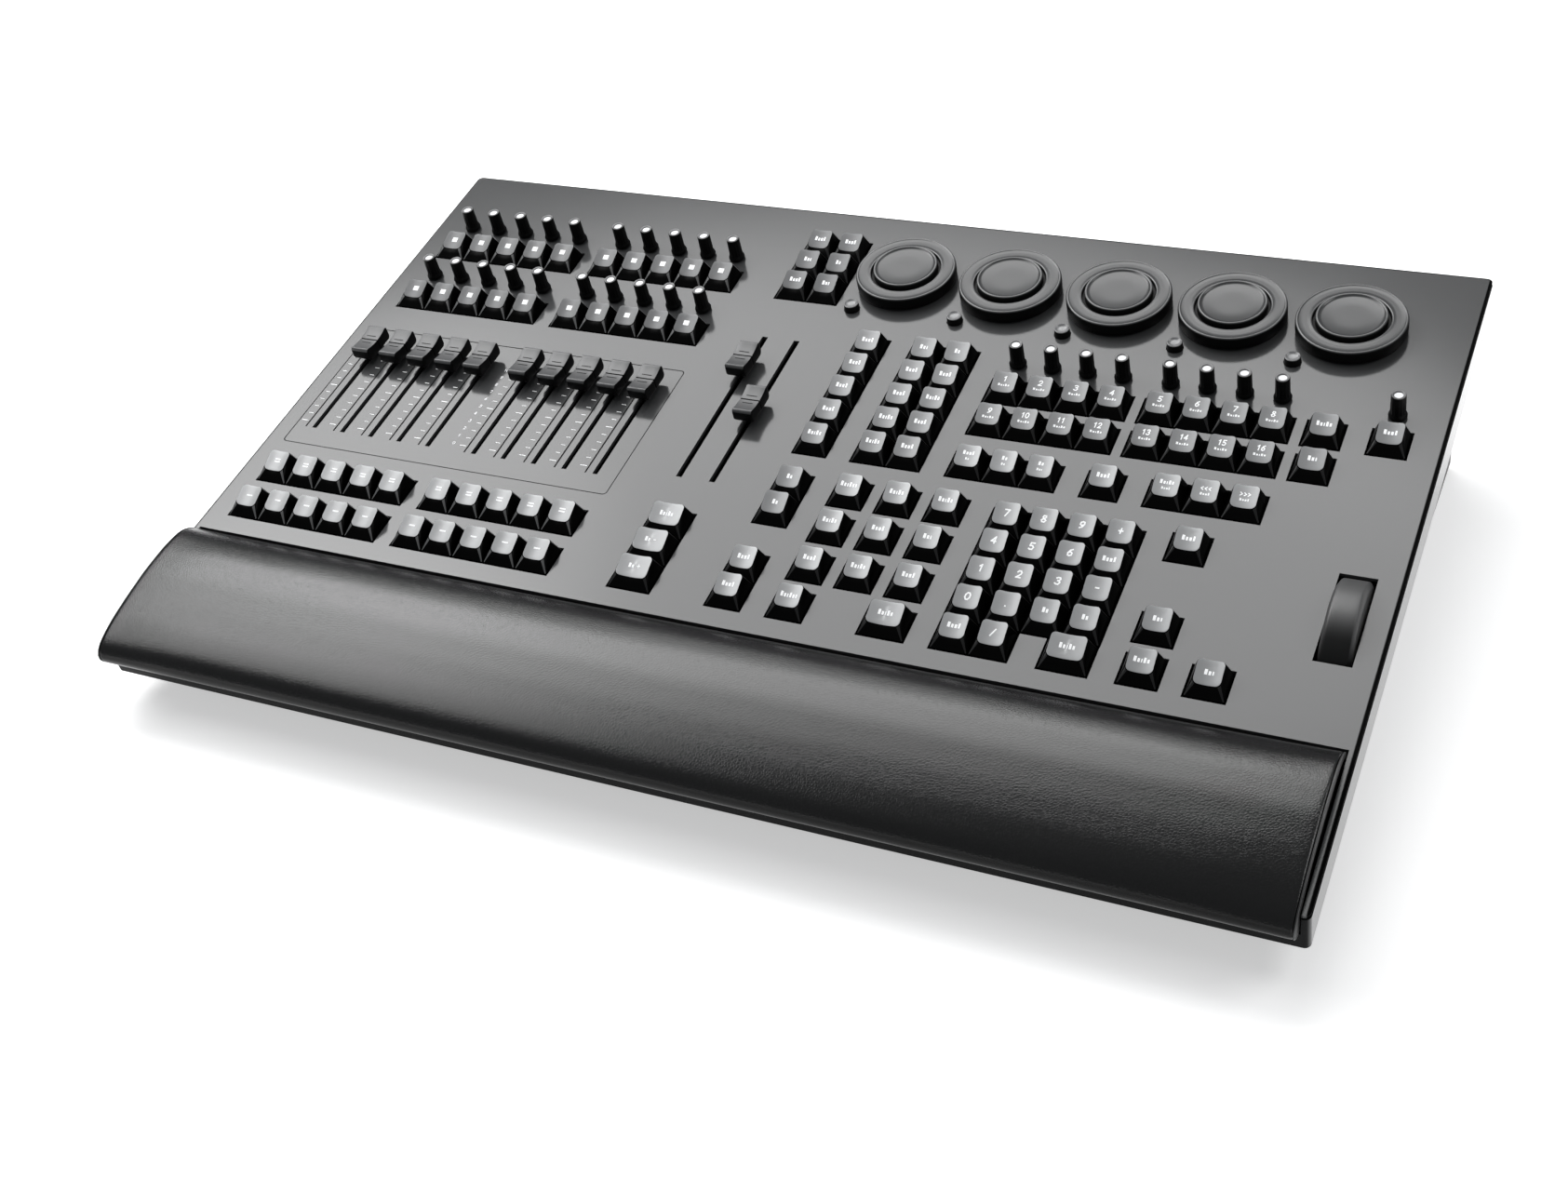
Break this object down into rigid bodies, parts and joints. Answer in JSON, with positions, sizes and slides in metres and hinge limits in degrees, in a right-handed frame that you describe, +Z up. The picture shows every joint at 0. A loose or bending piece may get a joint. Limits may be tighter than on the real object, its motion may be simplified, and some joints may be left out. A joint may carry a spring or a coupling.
{
  "type": "lighting control desk",
  "caption": "Sloping lighting console with fader bank, tapered key blocks, small knobs, rotary dials, side level wheel and padded palm rest.",
  "frame": {"origin": "middle of the footprint box, on the ground under the feet", "axes": "+X to the operator's right, -Y towards the operator (palm rest), +Z up; the top panel slopes up to the back by 8 degrees"},
  "size_m": [0.621, 0.4176, 0.1028],
  "materials": {
    "panel_paint": "satin anthracite powder coat",
    "tray_paint": "satin grey powder coat",
    "housing_paint": "matt black powder coat",
    "rest_core": "moulded core under the palm rest",
    "pad_leather": "black, fine grain",
    "key_plastic": "glossy sides, satin top",
    "cap_plastic": "satin black",
    "knob_plastic": "satin black, pale top",
    "dial_plastic": "satin dark grey",
    "wheel_plastic": "satin black",
    "axle_steel": "drawn",
    "supply_case": "folded sheet",
    "board_laminate": "green laminate",
    "inlet_plastic": "moulded black",
    "foot_rubber": "matt black"
  },
  "bodies": {
    "desk": {"tray": "tray_paint", "top_panel": "panel_paint", "fader_plate": "panel_paint", "palm_rest_base": "rest_core", "palm_rest_pad": "pad_leather", "control_board": "board_laminate", "wheel_axle": "axle_steel", "base_housing": "housing_paint", "rear_panel": "housing_paint", "power_inlet": "inlet_plastic", "power_supply": "supply_case", "feet_front": "foot_rubber", "feet_rear": "foot_rubber"},
    "keys_exec_upper": {"keys_exec_upper": "key_plastic"},
    "keys_exec_lower": {"keys_exec_lower": "key_plastic"},
    "keys_transport": {"keys_transport": "key_plastic"},
    "keys_page": {"keys_page": "key_plastic"},
    "keys_navigation": {"keys_navigation": "key_plastic"},
    "keys_program": {"keys_program": "key_plastic"},
    "keys_objects": {"keys_objects": "key_plastic"},
    "keys_assignable": {"keys_assignable": "key_plastic"},
    "keys_cue": {"keys_cue": "key_plastic"},
    "keys_number": {"keys_number": "key_plastic"},
    "key_menu": {"key_menu": "key_plastic"},
    "key_undo": {"key_undo": "key_plastic"},
    "key_escape": {"key_escape": "key_plastic"},
    "key_clear": {"key_clear": "key_plastic"},
    "key_full": {"key_full": "key_plastic"},
    "key_store": {"key_store": "key_plastic"},
    "key_update": {"key_update": "key_plastic"},
    "exec_knobs_back": {"exec_knobs_back": "knob_plastic"},
    "exec_knobs_front": {"exec_knobs_front": "knob_plastic"},
    "dial_buttons": {"dial_buttons": "knob_plastic"},
    "knob_1": {"knob_1": "knob_plastic"},
    "knob_2": {"knob_2": "knob_plastic"},
    "knob_3": {"knob_3": "knob_plastic"},
    "knob_4": {"knob_4": "knob_plastic"},
    "knob_5": {"knob_5": "knob_plastic"},
    "knob_6": {"knob_6": "knob_plastic"},
    "knob_7": {"knob_7": "knob_plastic"},
    "knob_8": {"knob_8": "knob_plastic"},
    "knob_menu": {"knob_menu": "knob_plastic"},
    "dial_1": {"dial_1": "dial_plastic"},
    "dial_2": {"dial_2": "dial_plastic"},
    "dial_3": {"dial_3": "dial_plastic"},
    "dial_4": {"dial_4": "dial_plastic"},
    "dial_5": {"dial_5": "dial_plastic"},
    "level_wheel": {"level_wheel": "wheel_plastic"},
    "fader_1": {"fader_1": "cap_plastic"},
    "fader_2": {"fader_2": "cap_plastic"},
    "fader_3": {"fader_3": "cap_plastic"},
    "fader_4": {"fader_4": "cap_plastic"},
    "fader_5": {"fader_5": "cap_plastic"},
    "fader_6": {"fader_6": "cap_plastic"},
    "fader_7": {"fader_7": "cap_plastic"},
    "fader_8": {"fader_8": "cap_plastic"},
    "fader_9": {"fader_9": "cap_plastic"},
    "fader_10": {"fader_10": "cap_plastic"},
    "master_1": {"master_1": "cap_plastic"},
    "master_2": {"master_2": "cap_plastic"}
  },
  "joints": [
    {"name": "keys_exec_upper_press", "type": "slide", "parent": "desk", "child": "keys_exec_upper", "axis": [0, -0.1392, 0.9903], "range_m": [-0.004, 0], "stiffness_N_per_m": 3000, "springref_m": 0.003},
    {"name": "keys_exec_lower_press", "type": "slide", "parent": "desk", "child": "keys_exec_lower", "axis": [0, -0.1392, 0.9903], "range_m": [-0.004, 0], "stiffness_N_per_m": 3000, "springref_m": 0.003},
    {"name": "keys_transport_press", "type": "slide", "parent": "desk", "child": "keys_transport", "axis": [0, -0.1392, 0.9903], "range_m": [-0.004, 0], "stiffness_N_per_m": 450, "springref_m": 0.003},
    {"name": "keys_page_press", "type": "slide", "parent": "desk", "child": "keys_page", "axis": [0, -0.1392, 0.9903], "range_m": [-0.004, 0], "stiffness_N_per_m": 300, "springref_m": 0.003},
    {"name": "keys_navigation_press", "type": "slide", "parent": "desk", "child": "keys_navigation", "axis": [0, -0.1392, 0.9903], "range_m": [-0.004, 0], "stiffness_N_per_m": 900, "springref_m": 0.003},
    {"name": "keys_program_press", "type": "slide", "parent": "desk", "child": "keys_program", "axis": [0, -0.1392, 0.9903], "range_m": [-0.004, 0], "stiffness_N_per_m": 2550, "springref_m": 0.003},
    {"name": "keys_objects_press", "type": "slide", "parent": "desk", "child": "keys_objects", "axis": [0, -0.1392, 0.9903], "range_m": [-0.004, 0], "stiffness_N_per_m": 1350, "springref_m": 0.003},
    {"name": "keys_assignable_press", "type": "slide", "parent": "desk", "child": "keys_assignable", "axis": [0, -0.1392, 0.9903], "range_m": [-0.004, 0], "stiffness_N_per_m": 2700, "springref_m": 0.003},
    {"name": "keys_cue_press", "type": "slide", "parent": "desk", "child": "keys_cue", "axis": [0, -0.1392, 0.9903], "range_m": [-0.004, 0], "stiffness_N_per_m": 1050, "springref_m": 0.003},
    {"name": "keys_number_press", "type": "slide", "parent": "desk", "child": "keys_number", "axis": [0, -0.1392, 0.9903], "range_m": [-0.004, 0], "stiffness_N_per_m": 2850, "springref_m": 0.003},
    {"name": "key_menu_press", "type": "slide", "parent": "desk", "child": "key_menu", "axis": [0, -0.1392, 0.9903], "range_m": [-0.004, 0], "stiffness_N_per_m": 150, "springref_m": 0.003},
    {"name": "key_undo_press", "type": "slide", "parent": "desk", "child": "key_undo", "axis": [0, -0.1392, 0.9903], "range_m": [-0.004, 0], "stiffness_N_per_m": 150, "springref_m": 0.003},
    {"name": "key_escape_press", "type": "slide", "parent": "desk", "child": "key_escape", "axis": [0, -0.1392, 0.9903], "range_m": [-0.004, 0], "stiffness_N_per_m": 150, "springref_m": 0.003},
    {"name": "key_clear_press", "type": "slide", "parent": "desk", "child": "key_clear", "axis": [0, -0.1392, 0.9903], "range_m": [-0.004, 0], "stiffness_N_per_m": 150, "springref_m": 0.003},
    {"name": "key_full_press", "type": "slide", "parent": "desk", "child": "key_full", "axis": [0, -0.1392, 0.9903], "range_m": [-0.004, 0], "stiffness_N_per_m": 150, "springref_m": 0.003},
    {"name": "key_store_press", "type": "slide", "parent": "desk", "child": "key_store", "axis": [0, -0.1392, 0.9903], "range_m": [-0.004, 0], "stiffness_N_per_m": 150, "springref_m": 0.003},
    {"name": "key_update_press", "type": "slide", "parent": "desk", "child": "key_update", "axis": [0, -0.1392, 0.9903], "range_m": [-0.004, 0], "stiffness_N_per_m": 150, "springref_m": 0.003},
    {"name": "exec_knobs_back_push", "type": "slide", "parent": "desk", "child": "exec_knobs_back", "axis": [0, -0.1392, 0.9903], "range_m": [-0.0005, 0], "stiffness_N_per_m": 4000, "springref_m": 0.001},
    {"name": "exec_knobs_front_push", "type": "slide", "parent": "desk", "child": "exec_knobs_front", "axis": [0, -0.1392, 0.9903], "range_m": [-0.0005, 0], "stiffness_N_per_m": 4000, "springref_m": 0.001},
    {"name": "dial_buttons_press", "type": "slide", "parent": "desk", "child": "dial_buttons", "axis": [0, -0.1392, 0.9903], "range_m": [-0.0015, 0], "stiffness_N_per_m": 1000, "springref_m": 0.001},
    {"name": "knob_1_turn", "type": "hinge", "parent": "desk", "child": "knob_1", "pos_m": [0.08895, 0.09792, 0.07951], "axis": [0, -0.1392, 0.9903], "continuous": true},
    {"name": "knob_2_turn", "type": "hinge", "parent": "desk", "child": "knob_2", "pos_m": [0.108, 0.09792, 0.07951], "axis": [0, -0.1392, 0.9903], "continuous": true},
    {"name": "knob_3_turn", "type": "hinge", "parent": "desk", "child": "knob_3", "pos_m": [0.12705, 0.09792, 0.07951], "axis": [0, -0.1392, 0.9903], "continuous": true},
    {"name": "knob_4_turn", "type": "hinge", "parent": "desk", "child": "knob_4", "pos_m": [0.1461, 0.09792, 0.07951], "axis": [0, -0.1392, 0.9903], "continuous": true},
    {"name": "knob_5_turn", "type": "hinge", "parent": "desk", "child": "knob_5", "pos_m": [0.17105, 0.09792, 0.07951], "axis": [0, -0.1392, 0.9903], "continuous": true},
    {"name": "knob_6_turn", "type": "hinge", "parent": "desk", "child": "knob_6", "pos_m": [0.1901, 0.09792, 0.07951], "axis": [0, -0.1392, 0.9903], "continuous": true},
    {"name": "knob_7_turn", "type": "hinge", "parent": "desk", "child": "knob_7", "pos_m": [0.20915, 0.09792, 0.07951], "axis": [0, -0.1392, 0.9903], "continuous": true},
    {"name": "knob_8_turn", "type": "hinge", "parent": "desk", "child": "knob_8", "pos_m": [0.2282, 0.09792, 0.07951], "axis": [0, -0.1392, 0.9903], "continuous": true},
    {"name": "knob_menu_turn", "type": "hinge", "parent": "desk", "child": "knob_menu", "pos_m": [0.2847, 0.09574, 0.0792], "axis": [0, -0.1392, 0.9903], "continuous": true},
    {"name": "dial_1_turn", "type": "hinge", "parent": "desk", "child": "dial_1", "pos_m": [0.004, 0.15595, 0.08767], "axis": [0, -0.1392, 0.9903], "continuous": true},
    {"name": "dial_2_turn", "type": "hinge", "parent": "desk", "child": "dial_2", "pos_m": [0.0653, 0.15595, 0.08767], "axis": [0, -0.1392, 0.9903], "continuous": true},
    {"name": "dial_3_turn", "type": "hinge", "parent": "desk", "child": "dial_3", "pos_m": [0.1267, 0.15595, 0.08767], "axis": [0, -0.1392, 0.9903], "continuous": true},
    {"name": "dial_4_turn", "type": "hinge", "parent": "desk", "child": "dial_4", "pos_m": [0.188, 0.15595, 0.08767], "axis": [0, -0.1392, 0.9903], "continuous": true},
    {"name": "dial_5_turn", "type": "hinge", "parent": "desk", "child": "dial_5", "pos_m": [0.2494, 0.15595, 0.08767], "axis": [0, -0.1392, 0.9903], "continuous": true},
    {"name": "level_wheel_roll", "type": "hinge", "parent": "desk", "child": "level_wheel", "pos_m": [0.2895, -0.03734, 0.0403], "axis": [1, 0, 0], "continuous": true},
    {"name": "fader_1_slide", "type": "slide", "parent": "desk", "child": "fader_1", "axis": [0, 0.9903, 0.1392], "range_m": [-0.06, 0]},
    {"name": "fader_2_slide", "type": "slide", "parent": "desk", "child": "fader_2", "axis": [0, 0.9903, 0.1392], "range_m": [-0.06, 0]},
    {"name": "fader_3_slide", "type": "slide", "parent": "desk", "child": "fader_3", "axis": [0, 0.9903, 0.1392], "range_m": [-0.06, 0]},
    {"name": "fader_4_slide", "type": "slide", "parent": "desk", "child": "fader_4", "axis": [0, 0.9903, 0.1392], "range_m": [-0.06, 0]},
    {"name": "fader_5_slide", "type": "slide", "parent": "desk", "child": "fader_5", "axis": [0, 0.9903, 0.1392], "range_m": [-0.06, 0]},
    {"name": "fader_6_slide", "type": "slide", "parent": "desk", "child": "fader_6", "axis": [0, 0.9903, 0.1392], "range_m": [-0.06, 0]},
    {"name": "fader_7_slide", "type": "slide", "parent": "desk", "child": "fader_7", "axis": [0, 0.9903, 0.1392], "range_m": [-0.06, 0]},
    {"name": "fader_8_slide", "type": "slide", "parent": "desk", "child": "fader_8", "axis": [0, 0.9903, 0.1392], "range_m": [-0.06, 0]},
    {"name": "fader_9_slide", "type": "slide", "parent": "desk", "child": "fader_9", "axis": [0, 0.9903, 0.1392], "range_m": [-0.06, 0]},
    {"name": "fader_10_slide", "type": "slide", "parent": "desk", "child": "fader_10", "axis": [0, 0.9903, 0.1392], "range_m": [-0.06, 0]},
    {"name": "master_1_slide", "type": "slide", "parent": "desk", "child": "master_1", "axis": [0, 0.9903, 0.1392], "range_m": [-0.08, 0.02]},
    {"name": "master_2_slide", "type": "slide", "parent": "desk", "child": "master_2", "axis": [0, 0.9903, 0.1392], "range_m": [-0.0467, 0.0533]}
  ]
}
